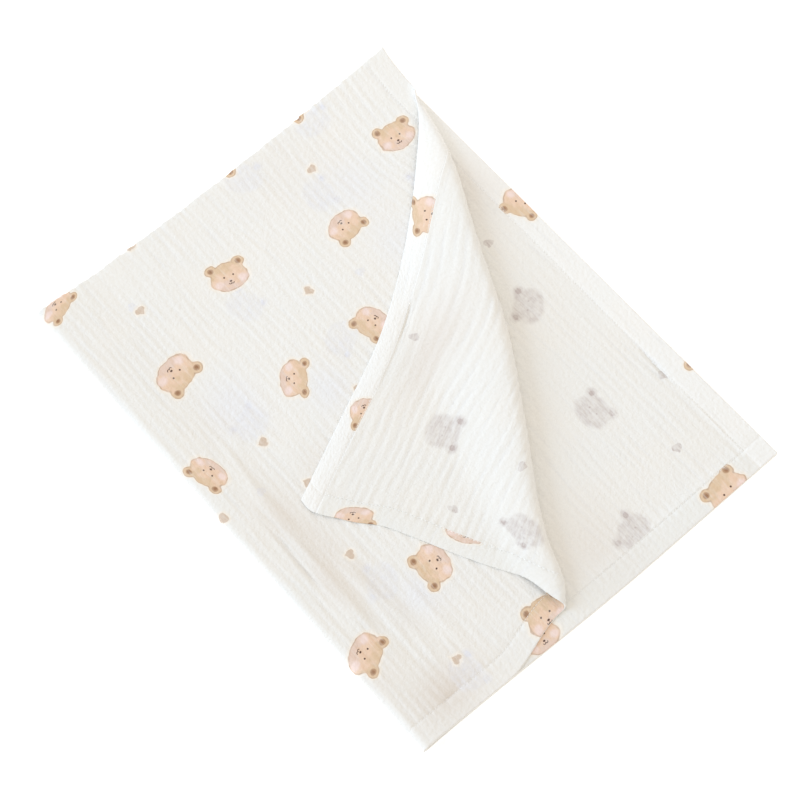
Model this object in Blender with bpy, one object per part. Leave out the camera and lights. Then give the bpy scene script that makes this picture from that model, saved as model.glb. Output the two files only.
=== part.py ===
"""A swaddle blanket of crinkled double-gauze cotton, folded in four, its top corner turned back.

The cloth is one hemmed rectangle. A place on it is (along, across), measured from its middle, where
the two folds cross. The first fold lays the two halves of its length together, right side out. The
second fold turns that pair under, so that four layers lie on each other. The top layer is the quarter
with along > 0 and across > 0, and the layer below it is the one with along < 0 and across > 0. The free
corner of the top layer is then turned back over itself in a soft roll.

A place in the folded stack is (x, y), measured from the corner where the folded edges meet: x runs
along the second fold, towards the hems, and y runs along the first fold. Last, the blanket is centred
on the origin, on z = 0. All sizes are in metres.
"""

import math
from collections import namedtuple

import bmesh
import bpy
import numpy as np
from mathutils import Vector
from mathutils.geometry import delaunay_2d_cdt

CLOTH_LENGTH = 1.200
CLOTH_WIDTH = 0.925
SHEET = 0.0012
HEM_WIDTH = 0.025
HEM_STEP = 0.001
HEM_EXTRA = 0.0004

LAYER_PITCH = 0.0024
FIRST_SETTLE = 0.010
SECOND_RADIUS = 0.0052
SECOND_SETTLE = 0.070

FOLDED_LENGTH = CLOTH_LENGTH / 2
FOLDED_WIDTH = CLOTH_WIDTH / 2

# How the stack differs from an even rectangle.
FIRST_FOLD_BOW = 0.006
LONG_HEM_DROP = 0.0071
LONG_HEM_SPREAD = 0.0155
SHORT_HEM_START = -0.0028
SHORT_HEM_SLANT = 0.0072
SHORT_HEM_REACH = 0.290
TOP_TURN_IN = 0.0195
TOP_TURN_IN_START = 0.105
TOP_TURN_IN_REACH = 0.085
TIP_OVERHANG = 0.0105
TIP_REACH_TOP = 0.040
TIP_REACH_BELOW = 0.008
CORNER_PULL = 0.012
CORNER_PULL_X = 0.180
CORNER_PULL_WIDTH = 0.075
SWELL = 0.0008
SWELL_LENGTH = 0.310
SWELL_WIDTH = 0.230

Wrinkle = namedtuple("Wrinkle", "x0 y0 x1 y1 height half_width")
WRINKLES = (
    Wrinkle(x0=0.246, y0=0.045, x1=0.496, y1=0.040, height=0.0022, half_width=0.007),
    Wrinkle(x0=0.386, y0=0.066, x1=0.516, y1=0.059, height=0.0016, half_width=0.007),
)
WRINKLE_FADE = 0.25

# The crease of the turned corner, from the hem beside the first fold to the hem beside the second.
CREASE_START = np.array((0.071, 0.4555))
CREASE_END = np.array((0.585, 0.1945))
FLAP_RISE = 0.0036

CreasePlace = namedtuple("CreasePlace", "share bulge radius settle")
CREASE = (
    CreasePlace(share=0.00, bulge=0.001, radius=0.0040, settle=0.030),
    CreasePlace(share=0.12, bulge=0.017, radius=0.0055, settle=0.045),
    CreasePlace(share=0.30, bulge=0.021, radius=0.0075, settle=0.065),
    CreasePlace(share=0.50, bulge=0.025, radius=0.0085, settle=0.075),
    CreasePlace(share=0.65, bulge=0.017, radius=0.0085, settle=0.070),
    CreasePlace(share=0.88, bulge=0.005, radius=0.0070, settle=0.050),
    CreasePlace(share=0.95, bulge=0.008, radius=0.0060, settle=0.040),
    CreasePlace(share=1.00, bulge=0.002, radius=0.0045, settle=0.030),
)

# Where the two free edges of the turned corner come to lie, by their distance from its tip. `spin` is
# how far the cloth beside that place of the long edge is turned, in degrees, from how it lies at the tip.
LongEdgePlace = namedtuple("LongEdgePlace", "from_tip x y spin")
FLAP_LONG_EDGE = (
    LongEdgePlace(from_tip=0.000, x=0.329, y=0.0735, spin=0),
    LongEdgePlace(from_tip=0.112, x=0.288, y=0.1635, spin=-3),
    LongEdgePlace(from_tip=0.203, x=0.254, y=0.2375, spin=1),
    LongEdgePlace(from_tip=0.278, x=0.219, y=0.2935, spin=5),
    LongEdgePlace(from_tip=0.390, x=0.156, y=0.3715, spin=15),
    LongEdgePlace(from_tip=0.523, x=0.071, y=0.4555, spin=26),
)
ShortEdgePlace = namedtuple("ShortEdgePlace", "from_tip x y")
FLAP_SHORT_EDGE = (
    ShortEdgePlace(from_tip=0.000, x=0.329, y=0.0735),
    ShortEdgePlace(from_tip=0.010, x=0.3385, y=0.0725),
    ShortEdgePlace(from_tip=0.025, x=0.350, y=0.076),
    ShortEdgePlace(from_tip=0.045, x=0.3675, y=0.0885),
    ShortEdgePlace(from_tip=0.062, x=0.3825, y=0.0995),
    ShortEdgePlace(from_tip=0.080, x=0.3975, y=0.113),
    ShortEdgePlace(from_tip=0.114, x=0.430, y=0.1315),
    ShortEdgePlace(from_tip=0.145, x=0.461, y=0.1465),
    ShortEdgePlace(from_tip=0.175, x=0.490, y=0.1615),
    ShortEdgePlace(from_tip=0.233, x=0.546, y=0.190),
    ShortEdgePlace(from_tip=0.270, x=0.584, y=0.195),
)

# Spacing of the lines on which the flat cloth can bend.
FIRST_FOLD_STEPS = 6
SECOND_FOLD_STEPS = 8
WRINKLE_SPACING = 0.007
CREASE_STEPS = 8
CREASE_PLACES = 30
CREASE_OVERRUN = 0.060
SETTLE_SHARES = (0.15, 0.35, 0.60, 1.00)
PLAIN_SPACING = 0.046
WELD = 0.0004
TINY = 1e-5
INSIDE_OUTLINE = 1

CLOTH_COLOUR = (0.90, 0.88, 0.83, 1.0)
CLOTH_ROUGHNESS = 0.95


def ease(share):
    """From 0 to 1 with level ends."""
    share = np.clip(share, 0, 1)
    return share * share * (3 - 2 * share)


def read_rows(rows, place, column, at):
    """One column of a table as a smooth curve over another, carried on straight past its ends."""
    places = np.array([getattr(row, place) for row in rows])
    values = np.array([getattr(row, column) for row in rows])
    slopes = np.gradient(values, places)
    inside = np.clip(at, places[0], places[-1])
    row = np.clip(np.searchsorted(places, inside, side="right") - 1, 0, len(rows) - 2)
    gap = places[row + 1] - places[row]
    share = (inside - places[row]) / gap
    rest = 1 - share
    curve = (
        values[row] * rest * rest * (1 + 2 * share)
        + values[row + 1] * share * share * (1 + 2 * rest)
        + slopes[row] * gap * share * rest * rest
        - slopes[row + 1] * gap * share * share * rest
    )
    end_slope = np.where(at < places[0], slopes[0], slopes[-1])
    return curve + end_slope * (at - inside)


def fold_over(run, radius, rise, settle):
    """Side view of cloth folded back over itself.

    `run` is measured along the cloth from the outermost line, below 0 on the lower side. It returns the
    distance in from that line, the height above the lower side, and the angle turned through.
    """
    turn = np.clip(run / radius, -math.pi / 2, math.pi / 2)
    past = np.maximum(np.abs(run) - radius * math.pi / 2, 0)
    reach = radius * (1 - np.cos(turn)) + past
    drop = np.where(run > 0, (2 * radius - rise) * ease(past / settle), 0)
    height = radius * (1 + np.sin(turn)) - drop
    return reach, height, turn


def wrinkle_height(x, y):
    """Soft ridges near the second fold, and the slow swell of cloth that isn't pressed."""
    swell = np.sin(2 * math.pi * x / SWELL_LENGTH) * np.sin(2 * math.pi * y / SWELL_WIDTH)
    height = SWELL * (1 + swell) * ease(y / SECOND_SETTLE)
    for ridge in WRINKLES:
        length = math.hypot(ridge.x1 - ridge.x0, ridge.y1 - ridge.y0)
        east = (ridge.x1 - ridge.x0) / length
        north = (ridge.y1 - ridge.y0) / length
        share = ((x - ridge.x0) * east + (y - ridge.y0) * north) / length
        away = (y - ridge.y0) * east - (x - ridge.x0) * north
        fade = ease(share / WRINKLE_FADE) * ease((1 - share) / WRINKLE_FADE)
        height = height + ridge.height * fade * np.exp(-((away / ridge.half_width) ** 2))
    return height


def upper_level(x, y):
    """Height of the upper pair of layers above its settled level."""
    puff = 2 * SECOND_RADIUS - 2 * LAYER_PITCH
    return puff * (1 - ease((y - SECOND_RADIUS) / SECOND_SETTLE)) + wrinkle_height(x, y)


def uneven(x, y, first_turn, second_turn):
    """Shift places in the stack to where the real cloth lies."""
    upper = (1 + np.sin(second_turn)) / 2
    top = upper * (1 + np.sin(first_turn)) / 2
    share_x = x / FOLDED_LENGTH
    share_y = y / FOLDED_WIDTH
    bow = FIRST_FOLD_BOW * (1 - (2 * share_y - 1) ** 2) * (1 - share_x)
    slant = SHORT_HEM_START + SHORT_HEM_SLANT * ease(y / SHORT_HEM_REACH)
    turn_in = TOP_TURN_IN * top * ease((y - TOP_TURN_IN_START) / TOP_TURN_IN_REACH)
    tip_reach = TIP_REACH_BELOW + (TIP_REACH_TOP - TIP_REACH_BELOW) * top
    tip = TIP_OVERHANG * upper * share_y**3 * np.exp(-x / tip_reach)
    pull = CORNER_PULL * top * share_y**3 * np.exp(-(((x - CORNER_PULL_X) / CORNER_PULL_WIDTH) ** 2))
    moved_x = x + bow + (slant - turn_in) * share_x**2
    moved_y = y * (1 - LONG_HEM_DROP + LONG_HEM_SPREAD * share_x) + tip + pull
    return moved_x, moved_y


def crease_frame():
    """Length, direction and outward normal of the straight line under the crease."""
    line = CREASE_END - CREASE_START
    length = math.hypot(line[0], line[1])
    direction = line / length
    return length, direction, np.array((-direction[1], direction[0]))


def beside_crease(x, y):
    """Share of the crease's length, and distance beyond its straight line, for places in the stack."""
    length, direction, normal = crease_frame()
    from_start = (x - CREASE_START[0], y - CREASE_START[1])
    share = (from_start[0] * direction[0] + from_start[1] * direction[1]) / length
    return share, from_start[0] * normal[0] + from_start[1] * normal[1]


def flap_place(along, across):
    """Where cloth of the turned corner lies: its short free edge, carried along the long one."""
    from_short_edge = FOLDED_LENGTH - along
    from_long_edge = FOLDED_WIDTH - across
    tip = FLAP_SHORT_EDGE[0]
    off_x = read_rows(FLAP_SHORT_EDGE, "from_tip", "x", from_long_edge) - tip.x
    off_y = read_rows(FLAP_SHORT_EDGE, "from_tip", "y", from_long_edge) - tip.y
    spin = np.radians(read_rows(FLAP_LONG_EDGE, "from_tip", "spin", from_short_edge))
    x = read_rows(FLAP_LONG_EDGE, "from_tip", "x", from_short_edge)
    y = read_rows(FLAP_LONG_EDGE, "from_tip", "y", from_short_edge)
    x = x + off_x * np.cos(spin) - off_y * np.sin(spin)
    y = y + off_x * np.sin(spin) + off_y * np.cos(spin)
    return x, y


def turn_corner(x, y, z, along, across):
    """Roll what lies beyond the crease back over the top layer."""
    _, _, normal = crease_frame()
    share, beyond = beside_crease(x, y)
    within = np.clip(share, 0, 1)
    beyond = beyond - read_rows(CREASE, "share", "bulge", within)
    radius = read_rows(CREASE, "share", "radius", within)
    settle = read_rows(CREASE, "share", "settle", within)
    half_roll = radius * math.pi / 2
    _, height, turn = fold_over(beyond, radius, FLAP_RISE, settle)
    reach = np.where(np.abs(beyond) < half_roll, half_roll - radius * np.cos(turn), np.abs(beyond))
    rolled_x = x - normal[0] * (beyond + reach)
    rolled_y = y - normal[1] * (beyond + reach)
    flap_x, flap_y = flap_place(along + normal[0] * (reach - beyond), across + normal[1] * (reach - beyond))
    turned = ease(beyond / settle)
    new_x = rolled_x * (1 - turned) + flap_x * turned
    new_y = rolled_y * (1 - turned) + flap_y * turned
    new_z = z - upper_level(x, y) + upper_level(new_x, new_y) + height
    moves = (along > 0) & (across > 0) & (beyond > -half_roll)
    return np.where(moves, new_x, x), np.where(moves, new_y, y), np.where(moves, new_z, z)


def lay(along, across):
    """Middle of the sheet, in the folded stack, for places on the cloth."""
    x, first_height, first_turn = fold_over(along, LAYER_PITCH / 2, LAYER_PITCH, FIRST_SETTLE)
    reach, second_height, second_turn = fold_over(across, SECOND_RADIUS, 2 * LAYER_PITCH, SECOND_SETTLE)
    outward = first_height - LAYER_PITCH / 2
    y = reach - outward * np.cos(second_turn)
    z = (SHEET + LAYER_PITCH) / 2 + second_height + outward * np.sin(second_turn)
    x, y = uneven(x, y, first_turn, second_turn)
    z = z + wrinkle_height(x, y) * (1 + np.sin(second_turn)) / 2
    return np.stack(turn_corner(x, y, z, along, across), axis=-1)


def place_in_sheet(along, across, height):
    """Places in the folded sheet, at heights above its printed side."""
    by_along = lay(along + TINY, across) - lay(along - TINY, across)
    by_across = lay(along, across + TINY) - lay(along, across - TINY)
    normal = np.cross(by_along, by_across)
    normal /= np.linalg.norm(normal, axis=-1, keepdims=True)
    return lay(along, across) + normal * (SHEET / 2 + height)[:, None]


def round_lines(radius, steps):
    """Lines across a fold, evenly spaced round its bend."""
    return [radius * math.pi * (step / steps - 0.5) for step in range(steps + 1)]


def even_lines(start, end, spacing):
    """Evenly spaced lines from start to end, both left out."""
    count = math.ceil((end - start) / spacing)
    return [start + (end - start) * step / count for step in range(1, count)]


def lines_of_length():
    """Lines across the length of the cloth: at the first fold, at the hems and over the plain stretches."""
    first = round_lines(LAYER_PITCH / 2, FIRST_FOLD_STEPS)
    hem = [FOLDED_LENGTH - HEM_WIDTH - HEM_STEP, FOLDED_LENGTH - HEM_WIDTH, FOLDED_LENGTH]
    outer = even_lines(first[-1], hem[0], PLAIN_SPACING) + hem
    return [-line for line in outer] + first + outer


def lines_of_width():
    """Lines across the width of the cloth: at the second fold, its slope, the wrinkles and the hems."""
    second = round_lines(SECOND_RADIUS, SECOND_FOLD_STEPS)
    hem = [FOLDED_WIDTH - HEM_WIDTH - HEM_STEP, FOLDED_WIDTH - HEM_WIDTH, FOLDED_WIDTH]
    settled = second[-1] + SECOND_SETTLE
    slope = even_lines(second[-1], settled, WRINKLE_SPACING)
    above = slope + [settled] + even_lines(settled, hem[0], PLAIN_SPACING) + hem
    below = even_lines(second[-1], hem[0], PLAIN_SPACING) + hem
    return [-line for line in below] + second + above


def crease_lines():
    """Lines that follow the crease, as rows of places on the flat cloth, carried past its edges."""
    length, direction, normal = crease_frame()
    widest = max(CREASE, key=lambda place: place.radius)
    rounds = round_lines(widest.radius, CREASE_STEPS)
    offsets = rounds + [rounds[-1] + widest.settle * share for share in SETTLE_SHARES]
    shares = np.linspace(-CREASE_OVERRUN, 1 + CREASE_OVERRUN, CREASE_PLACES)
    bulge = read_rows(CREASE, "share", "bulge", np.clip(shares, 0, 1))
    scale = read_rows(CREASE, "share", "radius", np.clip(shares, 0, 1)) / widest.radius
    flat = math.pi / 2
    lines = []
    for offset in offsets:
        beyond = bulge + offset * scale
        x = CREASE_START[0] + direction[0] * length * shares + normal[0] * beyond
        y = CREASE_START[1] + direction[1] * length * shares + normal[1] * beyond
        moved_x, moved_y = uneven(x, y, flat, flat)
        lines.append(list(zip(2 * x - moved_x, 2 * y - moved_y)))
    return lines


def flat_cloth():
    """The cloth laid flat, divided wherever it will bend, its printed side at z = 0."""
    length, width = FOLDED_LENGTH, FOLDED_WIDTH
    rows = [[(-length, -width), (length, -width), (length, width), (-length, width)]]
    rows += [[(along, -width), (along, width)] for along in lines_of_length()]
    rows += [[(-length, across), (length, across)] for across in lines_of_width()]
    rows += crease_lines()
    places = [place for row in rows for place in row]
    edges = []
    first = 0
    for row in rows:
        edges += [(first + step, first + step + 1) for step in range(len(row) - 1)]
        first += len(row)
    outline = [(0, 1, 2, 3)]
    places = [Vector(place) for place in places]
    points, _, triangles, *_ = delaunay_2d_cdt(places, edges, outline, INSIDE_OUTLINE, TINY)
    cloth = bmesh.new()
    verts = [cloth.verts.new((*point, 0)) for point in points]
    for triangle in triangles:
        cloth.faces.new([verts[index] for index in triangle])
    bmesh.ops.delete(cloth, geom=[vert for vert in cloth.verts if not vert.link_faces], context="VERTS")
    bmesh.ops.remove_doubles(cloth, verts=cloth.verts, dist=WELD)
    return cloth


def thicken(cloth):
    """Make the flat cloth a solid sheet, thicker in its hems on the unprinted side."""
    printed = list(cloth.faces)
    grown = bmesh.ops.extrude_face_region(cloth, geom=printed, use_keep_orig=True)["geom"]
    for vert in (part for part in grown if isinstance(part, bmesh.types.BMVert)):
        to_edge = min(FOLDED_LENGTH - abs(vert.co.x), FOLDED_WIDTH - abs(vert.co.y))
        in_hem = to_edge < HEM_WIDTH + HEM_STEP / 2
        vert.co.z = -(SHEET + HEM_EXTRA) if in_hem else -SHEET
    bmesh.ops.recalc_face_normals(cloth, faces=cloth.faces)


def fold_cloth(cloth):
    """Fold the solid sheet and centre it."""
    flat = np.array([vert.co[:] for vert in cloth.verts])
    folded = place_in_sheet(flat[:, 0], flat[:, 1], flat[:, 2])
    folded[:, :2] -= (folded[:, :2].min(axis=0) + folded[:, :2].max(axis=0)) / 2
    for vert, place in zip(cloth.verts, folded):
        vert.co = place


def gauze_material():
    """Ivory cotton."""
    material = bpy.data.materials.new("ivory_double_gauze")
    material.use_nodes = True
    shader = material.node_tree.nodes["Principled BSDF"]
    shader.inputs["Base Color"].default_value = CLOTH_COLOUR
    shader.inputs["Roughness"].default_value = CLOTH_ROUGHNESS
    shader.inputs["Metallic"].default_value = 0.0
    return material


def build_blanket():
    """The folded blanket, one solid sheet."""
    cloth = flat_cloth()
    thicken(cloth)
    fold_cloth(cloth)
    mesh = bpy.data.meshes.new("swaddle_blanket")
    cloth.to_mesh(mesh)
    cloth.free()
    mesh.shade_smooth()
    mesh.materials.append(gauze_material())
    blanket = bpy.data.objects.new("swaddle_blanket", mesh)
    bpy.context.scene.collection.objects.link(blanket)


def clear_scene():
    for thing in list(bpy.data.objects):
        bpy.data.objects.remove(thing)


clear_scene()
build_blanket()
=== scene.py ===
"""The looks of a swaddle blanket of crinkled double gauze, folded in four, its top corner turned back.

A place on the cloth is (along, across), measured from its middle, and a place in the folded stack is
(x, y), measured from the corner where the folded edges meet. The top layer is the quarter with along > 0
and across > 0, and the layer below it is the one with along < 0 and across > 0. All sizes are in metres.
"""

import math
from collections import namedtuple

import bpy
import numpy as np
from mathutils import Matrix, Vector


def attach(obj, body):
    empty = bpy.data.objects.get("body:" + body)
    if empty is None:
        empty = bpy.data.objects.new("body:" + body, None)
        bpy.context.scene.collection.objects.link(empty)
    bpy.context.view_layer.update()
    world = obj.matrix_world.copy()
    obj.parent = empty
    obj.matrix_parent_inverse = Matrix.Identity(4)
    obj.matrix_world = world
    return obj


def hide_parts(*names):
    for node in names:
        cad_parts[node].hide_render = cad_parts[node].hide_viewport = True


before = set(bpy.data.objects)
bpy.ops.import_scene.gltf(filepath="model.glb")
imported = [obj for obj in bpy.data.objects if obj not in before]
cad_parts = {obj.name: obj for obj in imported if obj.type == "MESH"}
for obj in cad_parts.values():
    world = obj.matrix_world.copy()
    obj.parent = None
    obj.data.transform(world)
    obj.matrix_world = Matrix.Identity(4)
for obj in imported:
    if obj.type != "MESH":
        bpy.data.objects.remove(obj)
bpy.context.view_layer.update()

# The folded cloth's sizes, as its solid has them.
CLOTH_LENGTH = 1.200
CLOTH_WIDTH = 0.925
SHEET = 0.0012
HEM_WIDTH = 0.025
HEM_EXTRA = 0.0004
LAYER_PITCH = 0.0024
FIRST_SETTLE = 0.010
SECOND_RADIUS = 0.0052
SECOND_SETTLE = 0.070
FOLDED_LENGTH = CLOTH_LENGTH / 2
FOLDED_WIDTH = CLOTH_WIDTH / 2
FIRST_FOLD_BOW = 0.006
LONG_HEM_DROP = 0.0071
LONG_HEM_SPREAD = 0.0155
SHORT_HEM_START = -0.0028
SHORT_HEM_SLANT = 0.0072
SHORT_HEM_REACH = 0.290
TOP_TURN_IN = 0.0195
TOP_TURN_IN_START = 0.105
TOP_TURN_IN_REACH = 0.085
TIP_OVERHANG = 0.0105
TIP_REACH_TOP = 0.040
TIP_REACH_BELOW = 0.008
CORNER_PULL = 0.012
CORNER_PULL_X = 0.180
CORNER_PULL_WIDTH = 0.075
SWELL = 0.0008
SWELL_LENGTH = 0.310
SWELL_WIDTH = 0.230

# Wrinkles of the folded stack, each from (x0, y0) to (x1, y1).
Wrinkle = namedtuple("Wrinkle", "x0 y0 x1 y1 height half_width")
WRINKLES = [Wrinkle(*row) for row in (
    (0.246, 0.045, 0.496, 0.040, 0.0022, 0.007),
    (0.386, 0.066, 0.516, 0.059, 0.0016, 0.007),
)]
WRINKLE_FADE = 0.25

# The turned corner: its crease, which bulges past a straight line, and its two free edges by the distance
# from its tip. Spin is in degrees.
CREASE_START = np.array((0.071, 0.4555))
CREASE_END = np.array((0.585, 0.1945))
FLAP_RISE = 0.0036
CreasePlace = namedtuple("CreasePlace", "share bulge radius settle")
CREASE = [CreasePlace(*row) for row in (
    (0.00, 0.001, 0.0040, 0.030),
    (0.12, 0.017, 0.0055, 0.045),
    (0.30, 0.021, 0.0075, 0.065),
    (0.50, 0.025, 0.0085, 0.075),
    (0.65, 0.017, 0.0085, 0.070),
    (0.88, 0.005, 0.0070, 0.050),
    (0.95, 0.008, 0.0060, 0.040),
    (1.00, 0.002, 0.0045, 0.030),
)]
LongEdgePlace = namedtuple("LongEdgePlace", "from_tip x y spin")
FLAP_LONG_EDGE = [LongEdgePlace(*row) for row in (
    (0.000, 0.329, 0.0735, 0),
    (0.112, 0.288, 0.1635, -3),
    (0.203, 0.254, 0.2375, 1),
    (0.278, 0.219, 0.2935, 5),
    (0.390, 0.156, 0.3715, 15),
    (0.523, 0.071, 0.4555, 26),
)]
ShortEdgePlace = namedtuple("ShortEdgePlace", "from_tip x y")
FLAP_SHORT_EDGE = [ShortEdgePlace(*row) for row in (
    (0.000, 0.329, 0.0735),
    (0.010, 0.3385, 0.0725),
    (0.025, 0.350, 0.076),
    (0.045, 0.3675, 0.0885),
    (0.062, 0.3825, 0.0995),
    (0.080, 0.3975, 0.113),
    (0.114, 0.430, 0.1315),
    (0.145, 0.461, 0.1465),
    (0.175, 0.490, 0.1615),
    (0.233, 0.546, 0.190),
    (0.270, 0.584, 0.195),
)]
TINY = 1e-5

# The crinkle: long ridges that run along the cloth, with smaller puckers between them.
CRINKLE_SEED = 11
NOISE_CELLS = 512
RIDGE_PITCH = 0.0090
RIDGE_LENGTH = 0.036
RIDGE_HEIGHT = 0.00040
RIDGE_HEIGHT_BELOW = 0.00031
RIDGE_HEIGHT_ON_FLAP = 0.00045
RIDGE_SHARE = 0.62
RIDGE_SHARE_SPREAD = 0.55
RIDGE_SHARE_PITCH = 1.3
RIDGE_SECOND_WAVE = 0.3
RIDGE_SECOND_PHASE = 1.0
RIDGE_WANDER = 0.0034
WANDER_LENGTH = 0.100
WANDER_WIDTH = 0.045
JITTER = 0.0022
JITTER_LENGTH = 0.050
JITTER_WIDTH = 0.016
SMALL_RIDGE_LENGTH = 0.020
SMALL_RIDGE_WIDTH = 0.0042
SMALL_RIDGE_HEIGHT = 0.00026
HEM_CALM = 0.35
FOLD_SCALLOP = 0.0007
FOLD_SCALLOP_REACH = 0.006

# The seams' dips and gathers.
SEAM_FROM_EDGE = 0.0235
SEAM_DIP = 0.0005
SEAM_DIP_REACH = 0.0009
PUCKER_PITCH = 0.0085
PUCKER_HEIGHT = 0.00030
PUCKER_REACH = 0.009
PUCKER_SHIFT = 3
PUCKER_SHIFT_LENGTH = 0.02

# The turned corner's free edges.
FLAP_BLEND_RADII = 3
FLAP_SAG = 0.0022
FLAP_SAG_REACH = 0.012
FLAP_EDGE_THINNING = 0.0004
THINNING_REACH = 0.0035

# The hems' stitching: short straight threads in a row along the seam, on both faces.
STITCH_PITCH = 0.0036
STITCH_LENGTH = 0.0027
STITCH_HALF_WIDTH = 0.00022
STITCH_HALF_HEIGHT = 0.00016
STITCH_SINK = 0.00002
STITCH_BEND = 0.8

# Small wrinkles, by their ends on the cloth. Their heights are towards the printed side, up on the top
# layer and down on the layer below it and the turned corner.
SMALL_WRINKLES = [Wrinkle(*row) for row in (
    (0.230, 0.055, 0.304, 0.048, 0.0009, 0.0032),
    (0.295, 0.032, 0.380, 0.030, 0.0008, 0.0028),
    (0.335, 0.034, 0.412, 0.032, -0.0018, 0.0020),
    (0.359, 0.050, 0.399, 0.049, -0.0008, 0.0022),
    (0.399, 0.059, 0.497, 0.075, 0.0012, 0.0042),
    (0.400, 0.035, 0.479, 0.040, 0.0012, 0.0040),
    (0.437, 0.078, 0.551, 0.070, 0.0012, 0.0042),
    (0.434, 0.052, 0.538, 0.055, -0.0009, 0.0040),
    (0.256, 0.004, 0.467, 0.005, 0.0007, 0.0030),
    (0.386, 0.020, 0.535, 0.024, -0.0007, 0.0032),
    (0.175, 0.071, 0.264, 0.065, 0.0007, 0.0036),
    (0.446, 0.097, 0.559, 0.101, 0.0008, 0.0045),
    (0.577, 0.044, 0.5745, 0.078, -0.0014, 0.0020),
    (0.322, 0.4373, 0.380, 0.4373, 0.0022, 0.0009),
    (0.365, 0.4373, 0.445, 0.4373, 0.0010, 0.0010),
    (0.597, 0.408, 0.597, 0.448, -0.0009, 0.0070),
    (-0.438, 0.4385, -0.477, 0.4365, 0.0026, 0.0012),
    (-0.450, 0.4310, -0.476, 0.4300, 0.0012, 0.0015),
    (-0.505, 0.4378, -0.572, 0.4368, -0.0008, 0.0015),
)]

# Soft patches by their middle and reach on the cloth: the brown ones are painted shade where the roll,
# folds, wrinkles and seams shade the cloth, and the blue ones are where the print below shows through. Turn
# is in degrees.
Patch = namedtuple("Patch", "along across long wide turn strength")
SHADE_PATCHES = [Patch(*row) for row in (
    (0.385, 0.062, 0.095, 0.022, 4, 0.50),
    (0.569, 0.058, 0.026, 0.040, 0, 0.95),
    (0.410, 0.041, 0.034, 0.011, 2, 0.55),
    (0.378, 0.406, 0.062, 0.016, 0, 0.80),
    (0.520, 0.140, 0.060, 0.050, 0, 0.15),
    (0.460, 0.175, 0.090, 0.020, 30, 0.10),
    (0.330, 0.042, 0.030, 0.020, 0, 0.30),
    (0.319, 0.114, 0.030, 0.030, 0, 0.38),
    (0.510, 0.017, 0.030, 0.020, 0, 0.35),
    (0.030, 0.290, 0.050, 0.060, 0, 0.22),
    (-0.190, 0.430, 0.045, 0.035, 0, 0.45),
    (-0.555, 0.270, 0.045, 0.038, 0, 0.45),
)]
BLUE_PATCHES = [Patch(*row) for row in (
    (0.207, 0.090, 0.030, 0.026, 0, 0.55),
    (0.258, 0.172, 0.026, 0.022, 0, 0.45),
    (0.478, 0.102, 0.022, 0.022, 0, 0.50),
    (0.100, 0.340, 0.034, 0.030, 0, 0.35),
    (0.180, 0.330, 0.030, 0.026, 0, 0.30),
)]

# The fine cloth's grid.
TOP_LENGTH_SPACING = 0.0070
BELOW_LENGTH_SPACING = 0.013
UPPER_WIDTH_SPACING = 0.0020
LOWER_WIDTH_SPACING = 0.0085
HEM_SPACING = 0.0040
HEM_STEP = 0.0005
EDGE_STRIP = 0.0007
FIRST_FOLD_STEPS = 8
SECOND_FOLD_STEPS = 12
RIM_BULGE = 0.0005

# Relief that the grid is too coarse for.
FINE_PUCKER_SIZE = 0.0040
FINE_PUCKER_HEIGHT = 0.00080
CREPE_STRETCH = (40.0, 420.0)
CREPE_HEIGHT = 0.00030
THREAD_PITCH = 0.0008
THREAD_HEIGHT = 0.00005

# Roughness and specular level.
GAUZE_FINISH = (0.95, 0.15)
THREAD_FINISH = (0.7, 0.3)
FLOOR_FINISH = (0.9, 0.0)

# The print: bears' heads and hearts, by their place on the cloth. Turn is the way a motif's top points,
# in degrees from the direction of the length. Tall is its height as a share of the usual one.
Motif = namedtuple("Motif", "kind along across turn size tall", defaults=(1.0, 1.0))
BEAR = 0
HEART = 1
BEAR_REACH = 0.023
HEART_REACH = 0.008
BEARS = [Motif(BEAR, *row) for row in (
    (0.087, 0.410, 167, 1.02),
    (0.130, 0.302, 10, 0.97),
    (0.092, 0.177, 164, 1.03),
    (0.143, 0.068, 18, 1.13, 0.96),
    (0.225, 0.154, 50, 1.01, 0.89),
    (0.231, 0.252, -76, 0.97),
    (0.248, 0.024, -75, 1.06, 0.78),
    (0.492, 0.022, 34, 1.06, 0.93),
    (0.466, 0.130, -91, 1.08),
    (0.590, 0.178, 168, 1.12),
    (0.0086, 0.0237, 25, 1.04, 0.62),
    (-0.0170, 0.259, 34),
    (-0.0150, 0.355, 22),
    (0.468, 0.364, -97),
    (0.539, 0.260, 40),
    (0.353, 0.150, 110),
    (0.343, 0.289, -20),
    (-0.320, 0.386, -41),
    (-0.447, 0.357, 90),
    (-0.566, 0.300, -32),
    (-0.233, 0.091, -20),
    (-0.224, 0.218, 150),
    (-0.129, 0.168, 70),
    (-0.084, 0.306, 100),
    (-0.146, 0.398, 10),
    (-0.349, 0.150, 200),
    (-0.445, 0.081, -60),
    (-0.569, 0.083, 95),
)]
HEARTS = [Motif(HEART, *row) for row in (
    (0.057, 0.320, 200),
    (-0.001, 0.122, 0),
    (0.318, 0.0925, 30),
    (0.160, 0.226, 100),
    (0.065, 0.084, 190),
    (0.256, 0.086, 80),
    (0.403, 0.075, 60),
    (0.551, 0.084, 30),
    (0.295, 0.005, 90),
    (0.279, 0.194, 120),
    (0.367, 0.424, 20),
    (0.473, 0.285, 75),
    (0.547, 0.326, 10),
    (0.395, 0.220, -30),
    (-0.243, 0.402, 40),
    (-0.466, 0.435, 70),
    (-0.532, 0.392, 15),
    (-0.296, 0.051, 160),
    (-0.180, 0.279, 15),
    (-0.508, 0.190, 80),
    (-0.056, 0.081, 300),
)]
PRINT_REPEAT = 0.470

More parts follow.
